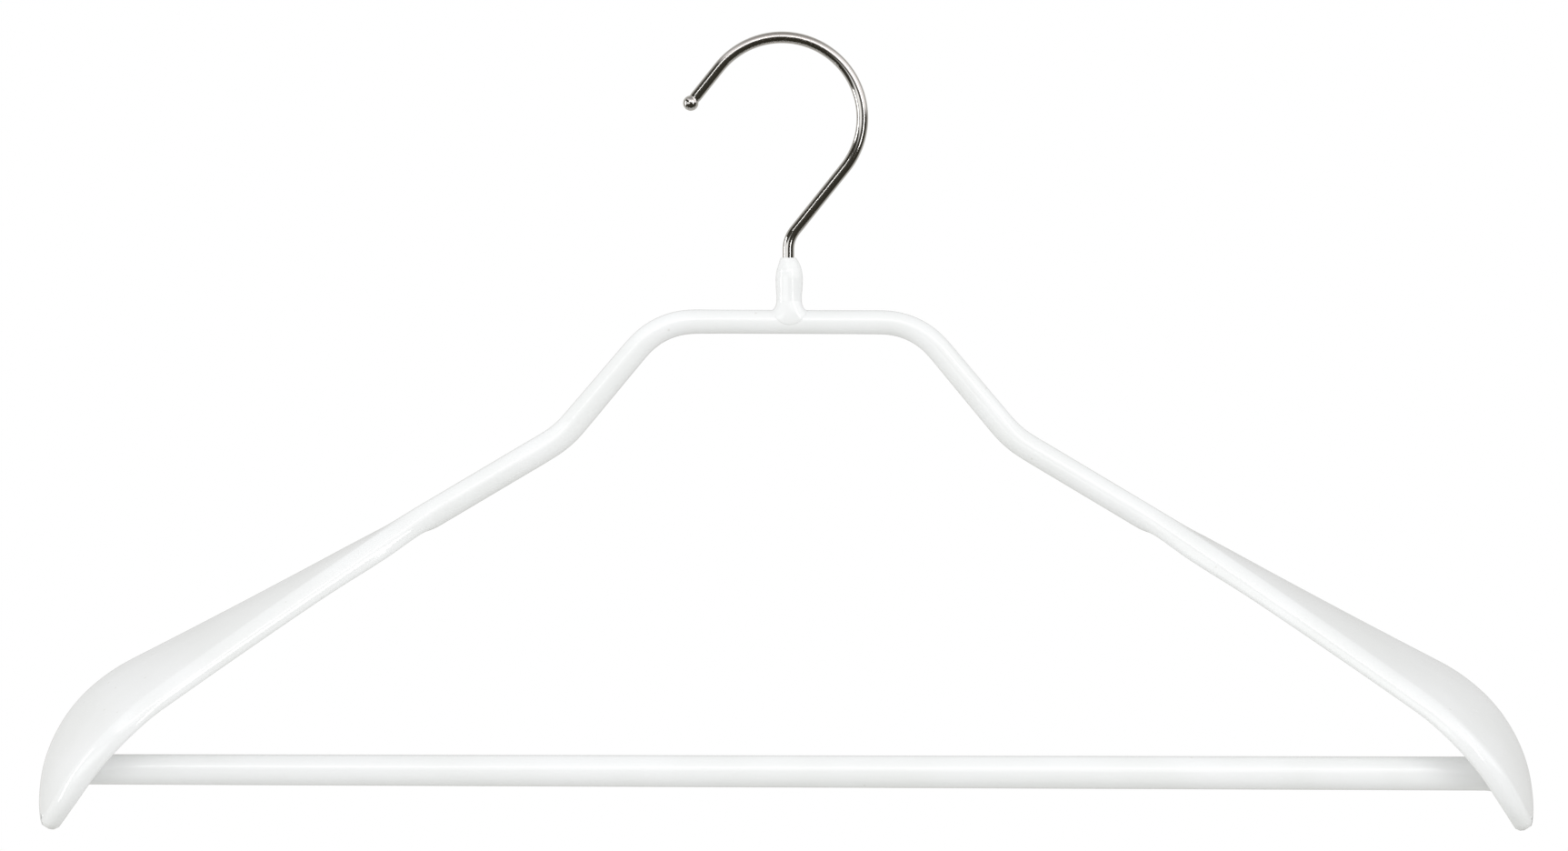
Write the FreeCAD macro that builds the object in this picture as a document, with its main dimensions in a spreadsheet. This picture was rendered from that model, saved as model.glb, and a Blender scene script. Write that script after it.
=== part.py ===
import FreeCAD, Part
import math
import os
import Sketcher
from FreeCAD import Placement, Rotation, Vector

# Clothes hanger: a bent steel tube arch with two pressed shoulder plates and a trouser bar,
# dipped in thick PVC, hanging from a wire hook that turns freely in a crimped neck.
# Millimetres. The origin is the hook's inside top, where it rests on a rail; +Z is up,
# +X runs along the shoulders, and the shoulders curve forwards, towards -Y.

DIMENSIONS = [
    # hook: half circle between two parallel straights, then a stem on the swivel axis
    ("wire_radius", 1.7, "hook wire"),
    ("hook_bend", 23.6, "half circle, on the wire's centreline"),
    ("hook_shift", 2.0, "half circle's centre, left of the swivel axis"),
    ("hook_slant", 51.6, "both straights, degrees from level"),
    ("hook_nose", 13.4, "straight from the half circle to the ball"),
    ("stem_bend", 8.5, "bend from the slanting straight to the stem"),
    ("ball_radius", 2.25, "ball on the tip"),
    ("head_radius", 2.5, "upset head at the stem's foot"),
    ("head_height", 2.2, "upset head"),
    ("head_top", -70.1, "underside of the sleeve's ledge, where the head bears"),
    # neck
    ("running_gap", 0.05, "radial clearance round the turning wire"),
    ("head_gap", 0.1, "clearance round the head"),
    ("sleeve_top", -65.6, "crimped top of the sleeve"),
    ("sleeve_crimp", 2.7, "sleeve radius at its crimped top"),
    ("sleeve_bulge", 3.35, "sleeve radius at its bulge"),
    ("sleeve_waist", 3.15, "sleeve radius below the bulge"),
    ("neck_lip", -63.0, "top of the coating round the wire"),
    ("coat_thickness", 0.7, "PVC coating"),
    ("neck_foot", 4.7, "radius of the coated neck where it meets the arch"),
    ("saddle_height", 1.2, "foot of the sleeve and its weld, over the arch's centreline"),
    # arch of round tube
    ("arch_height", -81.8, "centreline of the arch's level top"),
    ("tube_radius", 3.0, "steel tube"),
    ("tube_wall", 1.0, "steel tube's wall"),
    ("bend_one_at", 37.7, "corner between the level top and the steep run"),
    ("bend_one", 21.5, "bend radius of that corner"),
    ("bend_two_at", 66.0, "corner between the steep run and the shoulder slope"),
    ("bend_two_height", -115.7, "height of that corner"),
    ("bend_two", 28.0, "bend radius of that corner"),
    ("shoulder_slope", 30.9, "degrees below level"),
    # shoulders
    ("plan_bend", 650.0, "radius that the shoulders follow when seen from above"),
    ("joint_at", 102.0, "where the tube ends and the plate begins"),
    ("corner_at", 205.9, "corner between the slope and the tip, seen from the front"),
    ("corner_bend", 54.0, "bend radius of that corner"),
    ("tip_slope", 81.5, "degrees below level at the tip"),
    ("tip_run", 3.0, "straight run at the tip"),
    ("plate_half_width", 22.5, "widest place, over the coating"),
    ("nose_length", 38.0, "rounded end of the plate's outline"),
    ("tip_half_width", 2.95, "narrowest place, at the very tip"),
    ("nose_power", 1.7, "superellipse exponent of the rounded end"),
    ("edge_radius", 3.8, "rolled edges, over the coating"),
    ("lip_depth", 2.6, "turned-down rim, below the path"),
    ("thin_run", 20.0, "length at the tip over which the section gets lower"),
    ("thin_end", 0.7, "height of the section at the very tip, as a part of its full height"),
    ("plate_crown", 1.2, "rise of the plate's middle over its edges"),
    ("roll_mid", 9.0, "degrees that the front edge dips, on the slope"),
    ("roll_tip", 13.0, "degrees that the front edge dips, at the tip"),
    ("sheet_thickness", 1.0, "pressed steel sheet"),
    # trouser bar
    ("bar_radius", 3.9, "steel tube of the bar"),
    ("bar_wall", 1.0, "its wall"),
    ("bar_height", -211.1, "its centreline"),
    ("bar_setback", 33.0, "its centreline, in front of the swivel axis"),
    ("bar_half_length", 203.5, "its steel tube"),
    ("bead_height", 1.4, "weld beads at its ends"),
    ("bead_length", 3.0, "weld beads at its ends"),
    ("bead_clearance", 0.1, "weld beads at its ends, short of the plate"),
]

doc = FreeCAD.newDocument("hanger")
sheet = doc.addObject("Spreadsheet::Sheet", "sizes")
for row, (alias, value, meaning) in enumerate(DIMENSIONS, start=1):
    sheet.set(f"A{row}", meaning)
    sheet.set(f"B{row}", str(value))
    sheet.setAlias(f"B{row}", alias)
doc.recompute()


def size(alias):
    """A driving dimension, read back from the sheet."""
    return float(getattr(sheet, alias))


def formula(text):
    """Put the sheet's name before every alias in a formula."""
    for alias, _, _ in sorted(DIMENSIONS, key=lambda entry: -len(entry[0])):
        text = text.replace(alias, "<" + "_".join(reversed(alias)) + ">")
    for alias, _, _ in DIMENSIONS:
        text = text.replace("<" + "_".join(reversed(alias)) + ">", "sizes." + alias)
    return text


def bind(obj, **properties):
    """Bind properties of an object to formulas on the sheet."""
    for name, text in properties.items():
        obj.setExpression(name.replace("__", "."), formula(text))


def new_body(label):
    """A PartDesign body for one physical piece."""
    body = doc.addObject("PartDesign::Body", label + "_body")
    body.Label = label
    return body


def new_sketch(body, plane, name):
    """A sketch on one of the body's own origin planes."""
    sketch = body.newObject("Sketcher::SketchObject", name)
    support = next(f for f in body.Origin.OriginFeatures if f.Role == plane)
    sketch.AttachmentSupport = [(support, "")]
    sketch.MapMode = "FlatFace"
    return sketch


def new_primitive(body, kind, name):
    """A primitive attached to the body's own XY plane."""
    primitive = body.newObject(kind, name)
    support = next(f for f in body.Origin.OriginFeatures if f.Role == "XY_Plane")
    primitive.AttachmentSupport = [(support, "")]
    primitive.MapMode = "FlatFace"
    return primitive


def dimension(sketch, kind, place, text):
    """Add a sketch dimension that follows a formula on the sheet."""
    value = sketch.evalExpression(formula(text))
    index = sketch.addConstraint(Sketcher.Constraint(kind, *place, float(value)))
    sketch.setExpression(f"Constraints[{index}]", formula(text))


def outline(body, name, corners):
    """Closed polygon on the XZ plane; each corner is a pair of formulas, radius and height."""
    sketch = new_sketch(body, "XZ_Plane", name)
    points = [Vector(*(float(sketch.evalExpression(formula(text))) for text in pair), 0)
              for pair in corners]
    count = len(points)
    for i in range(count):
        sketch.addGeometry(Part.LineSegment(points[i], points[(i + 1) % count]))
    for i in range(count):
        sketch.addConstraint(Sketcher.Constraint("Coincident", i, 2, (i + 1) % count, 1))
    for i, (across, up) in enumerate(corners):
        dimension(sketch, "DistanceX", (-1, 1, i, 1), across)
        dimension(sketch, "DistanceY", (-1, 1, i, 1), up)
    return sketch


def turned(body, name, corners):
    """A solid turned about the swivel axis from a polygon outline."""
    sketch = outline(body, name + "_outline", corners)
    solid = body.newObject("PartDesign::Revolution", name)
    solid.Profile = sketch
    solid.ReferenceAxis = (sketch, ["V_Axis"])
    solid.Angle = 360.0
    return solid


def feature(label, shape):
    """A sub-part whose shape is worked out in code from the sheet."""
    obj = doc.addObject("Part::Feature", label)
    obj.Label = label
    obj.Shape = shape
    obj.Placement = Placement()
    return obj


def cut(label, base, *tools):
    """Base less its tools, as one sub-part."""
    tool = tools[0]
    if len(tools) > 1:
        tool = doc.addObject("Part::MultiFuse", label + "_tools")
        tool.Shapes = list(tools)
    result = doc.addObject("Part::Cut", label)
    result.Label = label
    result.Base = base
    result.Tool = tool
    return result


def largest(shape):
    """The biggest solid of a shape."""
    return max(shape.Solids, key=lambda solid: solid.Volume)


# ---------------------------------------------------------------- hook, with its ball and head
def make_hook():
    body = new_body("hook")
    path = new_sketch(body, "XZ_Plane", "hook_path")
    slant = math.radians(size("hook_slant"))
    bend = size("hook_bend")
    centre = Vector(-size("hook_shift"), size("wire_radius") - bend, 0)
    across = Vector(math.sin(slant), -math.cos(slant), 0)
    down = Vector(-math.cos(slant), -math.sin(slant), 0)
    bend_end = centre + across * bend
    bend_start = centre - across * bend
    nose_end = bend_start + down * size("hook_nose")
    # the slanting straight meets the swivel axis at the corner that the stem's bend rounds
    corner = bend_end + down * (bend_end.x / math.cos(slant))
    turn = math.pi / 2 - slant
    tangent = size("stem_bend") * math.tan(turn / 2)
    slant_end = corner - down * tangent
    stem_top = corner - Vector(0, tangent, 0)
    small_centre = stem_top + Vector(size("stem_bend"), 0, 0)
    stem_foot = Vector(0, size("head_top") - size("head_height") / 2, 0)
    up = Vector(0, 0, 1)
    path.addGeometry(Part.LineSegment(stem_foot, stem_top))
    path.addGeometry(Part.ArcOfCircle(Part.Circle(small_centre, up, size("stem_bend")),
                                      math.pi - turn, math.pi))
    path.addGeometry(Part.LineSegment(slant_end, bend_end))
    path.addGeometry(Part.ArcOfCircle(Part.Circle(centre, up, bend),
                                      slant - math.pi / 2, slant + math.pi / 2))
    path.addGeometry(Part.LineSegment(bend_start, nose_end))
    joins = [(0, 2, 1, 2), (1, 1, 2, 1), (2, 2, 3, 1), (3, 2, 4, 1)]
    for join in joins:
        path.addConstraint(Sketcher.Constraint("Tangent", *join))
    path.addConstraint(Sketcher.Constraint("PointOnObject", 0, 1, -2))
    path.addConstraint(Sketcher.Constraint("Vertical", 0))
    path.addConstraint(Sketcher.Constraint("Parallel", 2, 4))
    dimension(path, "DistanceY", (-1, 1, 0, 1), "head_top - head_height / 2")
    dimension(path, "Radius", (1,), "stem_bend")
    dimension(path, "Radius", (3,), "hook_bend")
    dimension(path, "DistanceX", (-1, 1, 3, 3), "-hook_shift")
    dimension(path, "DistanceY", (-1, 1, 3, 3), "wire_radius - hook_bend")
    dimension(path, "Distance", (4,), "hook_nose")

    section = new_sketch(body, "XY_Plane", "wire_section")
    bind(section, AttachmentOffset__Base__z="head_top - head_height / 2")
    section.addGeometry(Part.Circle(Vector(0, 0, 0), up, size("wire_radius")))
    section.addConstraint(Sketcher.Constraint("Coincident", 0, 3, -1, 1))
    dimension(section, "Radius", (0,), "wire_radius")
    doc.recompute()
    wire = body.newObject("PartDesign::AdditivePipe", "wire")
    wire.Profile = section
    wire.Spine = (path, [f"Edge{i + 1}" for i in range(5)])

    head = new_primitive(body, "PartDesign::AdditiveCylinder", "upset_head")
    bind(head, Radius="head_radius", Height="head_height",
         AttachmentOffset__Base__z="head_top - head_height")
    ball = new_primitive(body, "PartDesign::AdditiveSphere", "tip_ball")
    bind(ball, Radius="ball_radius",
         AttachmentOffset__Base__x="-hook_shift - hook_bend * sin(hook_slant * 1 deg)"
                                   " - hook_nose * cos(hook_slant * 1 deg)",
         AttachmentOffset__Base__z="wire_radius - hook_bend"
                                   " + hook_bend * cos(hook_slant * 1 deg)"
                                   " - hook_nose * sin(hook_slant * 1 deg)")
    return body


# ---------------------------------------------------------------- neck: sleeve, weld and coating
BORE = "wire_radius + running_gap"
CAVITY = "head_radius + head_gap"
SADDLE = "arch_height + saddle_height"
SLEEVE_OUTSIDE = [
    ("sleeve_crimp", "sleeve_top"),
    ("sleeve_bulge", "sleeve_top - 2.2"),
    ("sleeve_bulge", "head_top - 0.6"),
    ("sleeve_waist", "head_top - 3.4"),
    ("sleeve_waist", SADDLE),
]


def make_rod(name, radius):
    """A round rod along the arch's level top, for cutting what sits on the tube."""
    rod = doc.addObject("Part::Cylinder", name)
    rod.Placement = Placement(Vector(0, 0, 0), Rotation(Vector(0, 1, 0), 90))
    bind(rod, Radius=radius, Height="4 * neck_foot",
         Placement__Base__x="-2 * neck_foot", Placement__Base__z="arch_height")
    return rod


def make_neck_sleeve(tube_rod):
    """Crimped sleeve: a bore for the wire over a cavity for its head, saddled on the tube."""
    blank = new_body("sleeve_blank")
    turned(blank, "crimped_sleeve", [(BORE, "sleeve_top")] + SLEEVE_OUTSIDE + [
        (CAVITY, SADDLE),
        (CAVITY, "head_top + running_gap"),
        (BORE, "head_top + running_gap"),
    ])
    return cut("neck_sleeve", blank, tube_rod)


def make_neck_weld(tube_rod):
    """Fillet weld round the sleeve's foot."""
    blank = new_body("neck_weld_blank")
    turned(blank, "weld_fillet", [
        ("sleeve_waist", "arch_height + tube_radius + 2.4"),
        ("sleeve_waist + 0.8", "arch_height + tube_radius"),
        ("sleeve_waist + 0.8", SADDLE),
        ("sleeve_waist", SADDLE),
    ])
    return cut("neck_weld", blank, tube_rod)


def make_neck_coating(weld, coated_rod):
    """Coating of the neck: a soft lip round the wire, a bulge, a waist and a flared foot."""
    blank = new_body("neck_coating_blank")
    foot = SADDLE + " - coat_thickness"
    turned(blank, "neck_skin", [
        (BORE, "neck_lip"),
        ("wire_radius + 0.45", "neck_lip"),
        ("wire_radius + 0.95", "neck_lip - 1.5"),
        ("sleeve_crimp + coat_thickness + 0.05", "sleeve_top - 0.6"),
        ("sleeve_bulge + coat_thickness", "sleeve_top - 3.0"),
        ("sleeve_bulge + coat_thickness", "head_top - 0.9"),
        ("sleeve_waist + coat_thickness", "head_top - 3.7"),
        ("sleeve_waist + coat_thickness + 0.2", "head_top - 5.9"),
        ("neck_foot", "arch_height + tube_radius + coat_thickness"),
        ("neck_foot", foot),
        ("sleeve_waist", foot),
    ] + SLEEVE_OUTSIDE[::-1] + [(BORE, "sleeve_top")])
    return cut("neck_coating", blank, weld, coated_rod)


# ---------------------------------------------------------------- arch of round tube
def setback(across):
    """How far forward the shoulders' plan curve lies, at a distance from the middle."""
    return size("plan_bend") - math.sqrt(size("plan_bend") ** 2 - across ** 2)


def slope_height(across):
    """Height of the shoulder slope's line, at a distance from the middle."""
    run = across - size("bend_two_at")
    return size("bend_two_height") - run * math.tan(math.radians(size("shoulder_slope")))


def rounded_path(points, radii):
    """Straight runs through the points, with each inner corner rounded by a tangent arc."""
    edges = []
    start = points[0]
    for before, point, after, radius in zip(points, points[1:], points[2:], radii):
        towards = (point - before).normalize()
        away = (after - point).normalize()
        turn = towards.getAngle(away)
        tangent = radius * math.tan(turn / 2)
        arc_start = point - towards * tangent
        arc_end = point + away * tangent
        inward = (away - towards).normalize()
        sagitta = radius / math.cos(turn / 2) - radius
        edges.append(Part.LineSegment(start, arc_start).toShape())
        edges.append(Part.Arc(arc_start, point + inward * sagitta, arc_end).toShape())
        start = arc_end
    edges.append(Part.LineSegment(start, points[-1]).toShape())
    return Part.Wire(edges)


def make_arch_path():
    """Centreline of the tube, from the left plate to the right plate."""
    joint = size("joint_at")
    corner = size("bend_two_at")
    lean = math.tan(math.asin(joint / size("plan_bend")))
    corner_setback = setback(joint) - lean * (joint - corner)
    right = [
        Vector(size("bend_one_at"), 0, size("arch_height")),
        Vector(corner, -corner_setback, size("bend_two_height")),
        Vector(joint, -setback(joint), slope_height(joint)),
    ]
    left = [Vector(-point.x, point.y, point.z) for point in reversed(right)]
    bends = [size("bend_two"), size("bend_one"), size("bend_one"), size("bend_two")]
    return feature("arch_path", rounded_path(left + right, bends))


def swept_rod(name, path, radius):
    """A round rod along the arch's path."""
    start = path.Shape.Wires[0].OrderedEdges[0]
    heading = start.tangentAt(start.FirstParameter)
    ring = doc.addObject("Part::Circle", name + "_ring")
    bind(ring, Radius=radius)
    ring.Placement = Placement(start.valueAt(start.FirstParameter),
                               Rotation(Vector(0, 0, 1), heading))
    rod = doc.addObject("Part::Sweep", name)
    rod.Sections = [ring]
    rod.Spine = (path, [f"Edge{i + 1}" for i in range(len(path.Shape.Edges))])
    rod.Solid = True
    rod.Frenet = False
    return rod


# ---------------------------------------------------------------- pressed shoulder plates
def shoulder_frame(run):
    """Point, heading, width direction and outward direction of the right shoulder's path.

    The front view is the slope, an arc and the tip's straight; the path is that line wrapped
    round the plan curve, and the width direction is level, dipped forwards by the roll.
    """
    slope = math.radians(size("shoulder_slope"))
    tip = math.radians(size("tip_slope"))
    bend = size("corner_bend")
    tangent = bend * math.tan((tip - slope) / 2)
    straight = (size("corner_at") - size("joint_at")) / math.cos(slope) - tangent
    angle = slope
    along = min(run, straight)
    across = size("joint_at") + along * math.cos(slope)
    height = slope_height(size("joint_at")) - along * math.sin(slope)
    if run > straight:
        angle = min(slope + (run - straight) / bend, tip)
        across += bend * (math.sin(angle) - math.sin(slope))
        height -= bend * (math.cos(slope) - math.cos(angle))
        beyond = max(run - straight - bend * (tip - slope), 0.0)
        across += beyond * math.cos(tip)
        height -= beyond * math.sin(tip)
    lean = math.asin(across / size("plan_bend"))
    point = Vector(across, -setback(across), height)
    heading = Vector(math.cos(angle), -math.cos(angle) * math.tan(lean), -math.sin(angle))
    heading.normalize()
    settle = min(run / 30.0, 1.0)
    part = run / shoulder_length()
    roll = math.radians(settle * (size("roll_mid") * (1 - part) + size("roll_tip") * part))
    width = Vector(-math.sin(lean), -math.cos(lean), -math.tan(roll))
    width = (width - heading * width.dot(heading)).normalize()
    outward = heading.cross(width)
    if outward.z < 0:
        outward = outward * -1
    return point, heading, width, outward


def shoulder_length():
    """Length of the shoulder's path, from the joint to the tip."""
    slope = math.radians(size("shoulder_slope"))
    tip = math.radians(size("tip_slope"))
    tangent = size("corner_bend") * math.tan((tip - slope) / 2)
    straight = (size("corner_at") - size("joint_at")) / math.cos(slope) - tangent
    return straight + size("corner_bend") * (tip - slope) + size("tip_run")


def half_width(run):
    """Half the coated plate's width: an even taper, then a superellipse round the tip."""
    narrow = size("tube_radius") + size("coat_thickness")
    nose = shoulder_length() - size("nose_length")
    ease = 6.0
    past = run * run / (4 * ease) if run < 2 * ease else run - ease
    growth = (size("plate_half_width") - narrow) / (nose - ease)
    width = narrow + growth * min(past, nose - ease)
    part = min(max((run - nose) / size("nose_length"), 0.0), 1.0)
    power = size("nose_power")
    return width * (1 - part ** power) ** (1 / power)


def channel(run, outer, inner):
    """Section across the plate: a crowned channel, open below, between two offsets.

    Each side is a lip, a rolled edge and half of the crown, all tangent. The offsets are
    measured inwards from the outside of the coating.
    """
    point, _, width, outward = shoulder_frame(run)
    left_to_tip = min((shoulder_length() - run) / size("thin_run"), 1.0)
    lowering = size("thin_end") + (1 - size("thin_end")) * math.sin(math.pi / 2 * left_to_tip)
    height = size("edge_radius") * lowering
    half = max(half_width(run), size("tip_half_width"))
    edge = min(height, half - 0.05)
    reach = half - edge
    rise = min(size("plate_crown") * half / size("plate_half_width"), 0.2 * reach)
    edge_height = height - edge - rise
    crown = (reach ** 2 + rise ** 2) / (2 * rise) + edge
    crown_centre = height - crown
    tilt = 2 * math.atan(rise / reach)
    foot = -size("lip_depth") * lowering

    def side(offset, base):
        """Points of one side, from the lip's foot to the middle of the crown."""
        small = edge - offset
        middle = (math.pi / 2 - tilt) / 2
        return [
            (reach + small, base),
            (reach + small, edge_height),
            (reach + small * math.cos(middle), edge_height + small * math.sin(middle)),
            (reach + small * math.sin(tilt), edge_height + small * math.cos(tilt)),
            (0.0, crown_centre + crown - offset),
        ]

    def place(across, up):
        return point + width * across + outward * up

    def wall(offset, base):
        """Lip, rolled edge, crown, rolled edge and lip, from front to back."""
        front = side(offset, base)
        back = [(-across, up) for across, up in front]
        a, b, c, d, top = [place(*pair) for pair in front]
        e, f, g, h, _ = [place(*pair) for pair in back]
        return [
            Part.LineSegment(a, b), Part.Arc(b, c, d), Part.Arc(d, top, h),
            Part.Arc(h, g, f), Part.LineSegment(f, e),
        ]

    base = foot + outer
    outside = [curve.toShape() for curve in wall(outer, base)]
    inside = [curve.toShape() for curve in wall(inner, base)]
    ends = [
        Part.LineSegment(inside[0].valueAt(inside[0].FirstParameter),
                         outside[0].valueAt(outside[0].FirstParameter)).toShape(),
        Part.LineSegment(outside[-1].valueAt(outside[-1].LastParameter),
                         inside[-1].valueAt(inside[-1].LastParameter)).toShape(),
    ]
    inside = [edge_shape.reversed() for edge_shape in reversed(inside)]
    return Part.Wire([ends[0]] + outside + [ends[1]] + inside)


def stations(shortfall):
    """Places of the sections: even along the slope, closer together round the tip."""
    end = shoulder_length() - shortfall
    nose = shoulder_length() - size("nose_length")
    even = [nose * i / 5 for i in range(5)]
    close = [nose + (end - nose) * math.sin(math.pi / 2 * i / 6) for i in range(7)]
    return even + close


def plate_solid(outer, inner, shortfall):
    """The right shoulder's channel as a solid, between two offsets."""
    sections = [channel(run, outer, inner) for run in stations(shortfall)]
    return Part.makeLoft(sections, True, False)


def mirrored(shape):
    """The same shape on the left."""
    return shape.mirror(Vector(0, 0, 0), Vector(1, 0, 0))


# ---------------------------------------------------------------- welds and bar
def mirror_of(label, source):
    """The same piece on the left."""
    copy = doc.addObject("Part::Mirroring", label)
    copy.Label = label
    copy.Source = source
    copy.Normal = Vector(1, 0, 0)
    return copy


def make_shoulder_weld(tube_solid):
    """Butt weld round the tube's end, at the right plate."""
    point, heading, _, _ = shoulder_frame(0.0)
    blank = doc.addObject("Part::Cylinder", "shoulder_weld_blank")
    bind(blank, Radius="tube_radius + 0.35", Height="bead_length")
    blank.Placement = Placement(point - heading * size("bead_length"),
                                Rotation(Vector(0, 0, 1), heading))
    return cut("shoulder_weld_right", blank, tube_solid)


def bar_rod(name, radius, half_length):
    """A round rod along the trouser bar's line."""
    rod = doc.addObject("Part::Cylinder", name)
    rod.Placement = Placement(Vector(0, 0, 0), Rotation(Vector(0, 1, 0), 90))
    bind(rod, Radius=radius, Height=f"2 * ({half_length})",
         Placement__Base__x=f"-({half_length})",
         Placement__Base__y="-bar_setback", Placement__Base__z="bar_height")
    return rod


def weld_plug(extra, start):
    """Tapered plug round the bar's right end, long enough to run into the plate."""
    radius = size("bar_radius") + extra
    base = Vector(start, -size("bar_setback"), size("bar_height"))
    side = Vector(1, 0, 0)
    taper = Part.makeCone(radius, radius + size("bead_height"), size("bead_length"), base, side)
    straight = Part.makeCylinder(radius + size("bead_height"), 12.0,
                                 base + side * size("bead_length"), side)
    return taper.fuse(straight)


# ---------------------------------------------------------------- assembly
coat = size("coat_thickness")
steel_inside = coat + size("sheet_thickness")
coat_inside = steel_inside + coat
cutter_reach = -6.0

hook = make_hook()
tube_rod = make_rod("tube_rod", "tube_radius")
coated_rod = make_rod("coated_rod", "tube_radius + coat_thickness")
neck_sleeve = make_neck_sleeve(tube_rod)
neck_weld = make_neck_weld(tube_rod)
neck_coating = make_neck_coating(neck_weld, coated_rod)

arch_path = make_arch_path()
doc.recompute()
tube_solid = swept_rod("tube_solid", arch_path, "tube_radius")
tube_hollow = swept_rod("tube_hollow", arch_path, "tube_radius - tube_wall")
frame_tube = cut("frame_tube", tube_solid, tube_hollow)
shoulder_weld_right = make_shoulder_weld(tube_solid)
shoulder_weld_left = mirror_of("shoulder_weld_left", shoulder_weld_right)
sleeve_plug = doc.addObject("Part::Cylinder", "sleeve_plug")
bind(sleeve_plug, Radius="sleeve_waist", Height="4 * tube_radius",
     Placement__Base__z="arch_height")
tube_skin = swept_rod("tube_skin", arch_path, "tube_radius + coat_thickness")
tube_coating = cut("tube_coating", tube_skin, tube_solid, sleeve_plug, neck_weld,
                   shoulder_weld_right, shoulder_weld_left)

bar_solid = bar_rod("bar_solid", "bar_radius", "bar_half_length")
bar_hollow = bar_rod("bar_hollow", "bar_radius - bar_wall", "bar_half_length")
trouser_bar = cut("trouser_bar", bar_solid, bar_hollow)
doc.recompute()

bar_core = bar_solid.Shape
bead_start = size("bar_half_length") - size("bead_length")
plate = plate_solid(coat, steel_inside, coat)
beyond_middle = plate_solid(cutter_reach, coat + size("sheet_thickness") / 2, coat)
bead_room = largest(weld_plug(0.0, bead_start).cut(beyond_middle))
short_of_plate = plate_solid(cutter_reach, steel_inside + size("bead_clearance"), coat)
bead = largest(weld_plug(0.0, bead_start).cut(short_of_plate).cut(bar_core))
coated = plate_solid(0.0, coat_inside, 0.0)
beyond_coat = plate_solid(cutter_reach, coat_inside, 0.0)
plate_skin = largest(coated.cut(plate).cut(bead_room).cut(bar_core))
flare = weld_plug(coat, bead_start)
bar_skin = bar_rod("bar_skin", "bar_radius + coat_thickness", "bar_half_length")
doc.recompute()
bar_sleeve = bar_skin.Shape.fuse([flare, mirrored(flare)])
for piece in (bar_core, bead_room, mirrored(bead_room), beyond_coat, mirrored(beyond_coat)):
    bar_sleeve = largest(bar_sleeve.cut(piece))

shoulder_plate_right = feature("shoulder_plate_right", plate)
shoulder_plate_left = feature("shoulder_plate_left", mirrored(plate))
bar_weld_right = feature("bar_weld_right", bead)
bar_weld_left = feature("bar_weld_left", mirrored(bead))
shoulder_coating_right = feature("shoulder_coating_right", plate_skin)
shoulder_coating_left = feature("shoulder_coating_left", mirrored(plate_skin))
bar_coating = feature("bar_coating", bar_sleeve)
doc.recompute()

PIECES = [
    hook, neck_sleeve, neck_weld, frame_tube,
    shoulder_plate_left, shoulder_plate_right, shoulder_weld_left, shoulder_weld_right,
    trouser_bar, bar_weld_left, bar_weld_right,
    neck_coating, tube_coating, shoulder_coating_left, shoulder_coating_right, bar_coating,
]
for obj in doc.Objects:
    if "Invalid" in obj.State or "Error" in obj.State:
        raise RuntimeError(f"{obj.Label} did not compute: {obj.State}")
for piece in PIECES:
    if piece.Shape.isNull() or not piece.Shape.isValid():
        raise RuntimeError(f"{piece.Label} has no valid shape")

os.makedirs("parts", exist_ok=True)
for piece in PIECES:
    piece.Shape.exportStep(f"parts/{piece.Label}.step")
    box = piece.Shape.BoundBox
    print(f"{piece.Label:24} {len(piece.Shape.Solids)} solid, {piece.Shape.Volume:9.1f} mm3, "
          f"x {box.XMin:.1f} {box.XMax:.1f}, z {box.ZMin:.1f} {box.ZMax:.1f}")
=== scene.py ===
import math
import bpy
import numpy as np
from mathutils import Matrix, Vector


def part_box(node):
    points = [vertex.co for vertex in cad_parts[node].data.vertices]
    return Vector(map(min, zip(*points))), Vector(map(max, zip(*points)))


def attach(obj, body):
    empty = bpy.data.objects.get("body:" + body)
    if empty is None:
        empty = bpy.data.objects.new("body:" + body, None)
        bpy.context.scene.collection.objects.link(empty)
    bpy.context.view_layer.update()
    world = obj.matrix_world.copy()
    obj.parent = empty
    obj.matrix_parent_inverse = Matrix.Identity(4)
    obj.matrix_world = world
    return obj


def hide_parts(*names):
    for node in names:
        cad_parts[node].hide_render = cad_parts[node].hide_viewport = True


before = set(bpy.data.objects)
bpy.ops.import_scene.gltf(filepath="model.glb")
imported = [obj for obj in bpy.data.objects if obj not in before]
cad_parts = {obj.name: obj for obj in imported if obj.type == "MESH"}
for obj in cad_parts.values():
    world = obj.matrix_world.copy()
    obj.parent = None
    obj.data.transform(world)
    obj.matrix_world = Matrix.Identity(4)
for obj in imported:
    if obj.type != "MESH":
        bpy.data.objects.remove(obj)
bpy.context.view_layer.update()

# ------------------------------------------------------------------ camera and studio
# The hanger hangs in the air before a level camera, in a plain pale studio. The floor lies
# well below it. Soft light comes from all round. One long strip above the camera and a tall
# strip on each side draw the thin bright lines along the glossy coating.
MM = 0.001
CAMERA_BACK = 1.30
CAMERA_YAW = math.radians(1.44)
CAMERA_ROLL = math.radians(0.18)
CAMERA_AIM = (-0.00114, -0.1122)
LENS_PER_WIDTH = 2.824
FLOOR_Z = -1.1
FLOOR_HALF = 6.0
STRIP_DISTANCE = 2.0
# name, azimuth and elevation in degrees, width and height in metres, power in watts
STRIPS = [
    ("front_strip", 6.0, 29.0, 2.6, 0.13, 4.2),
    ("left_strip", -84.0, 4.0, 0.30, 1.5, 8.0),
    ("right_strip", 36.0, 12.0, 0.24, 1.3, 5.0),
]

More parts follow.
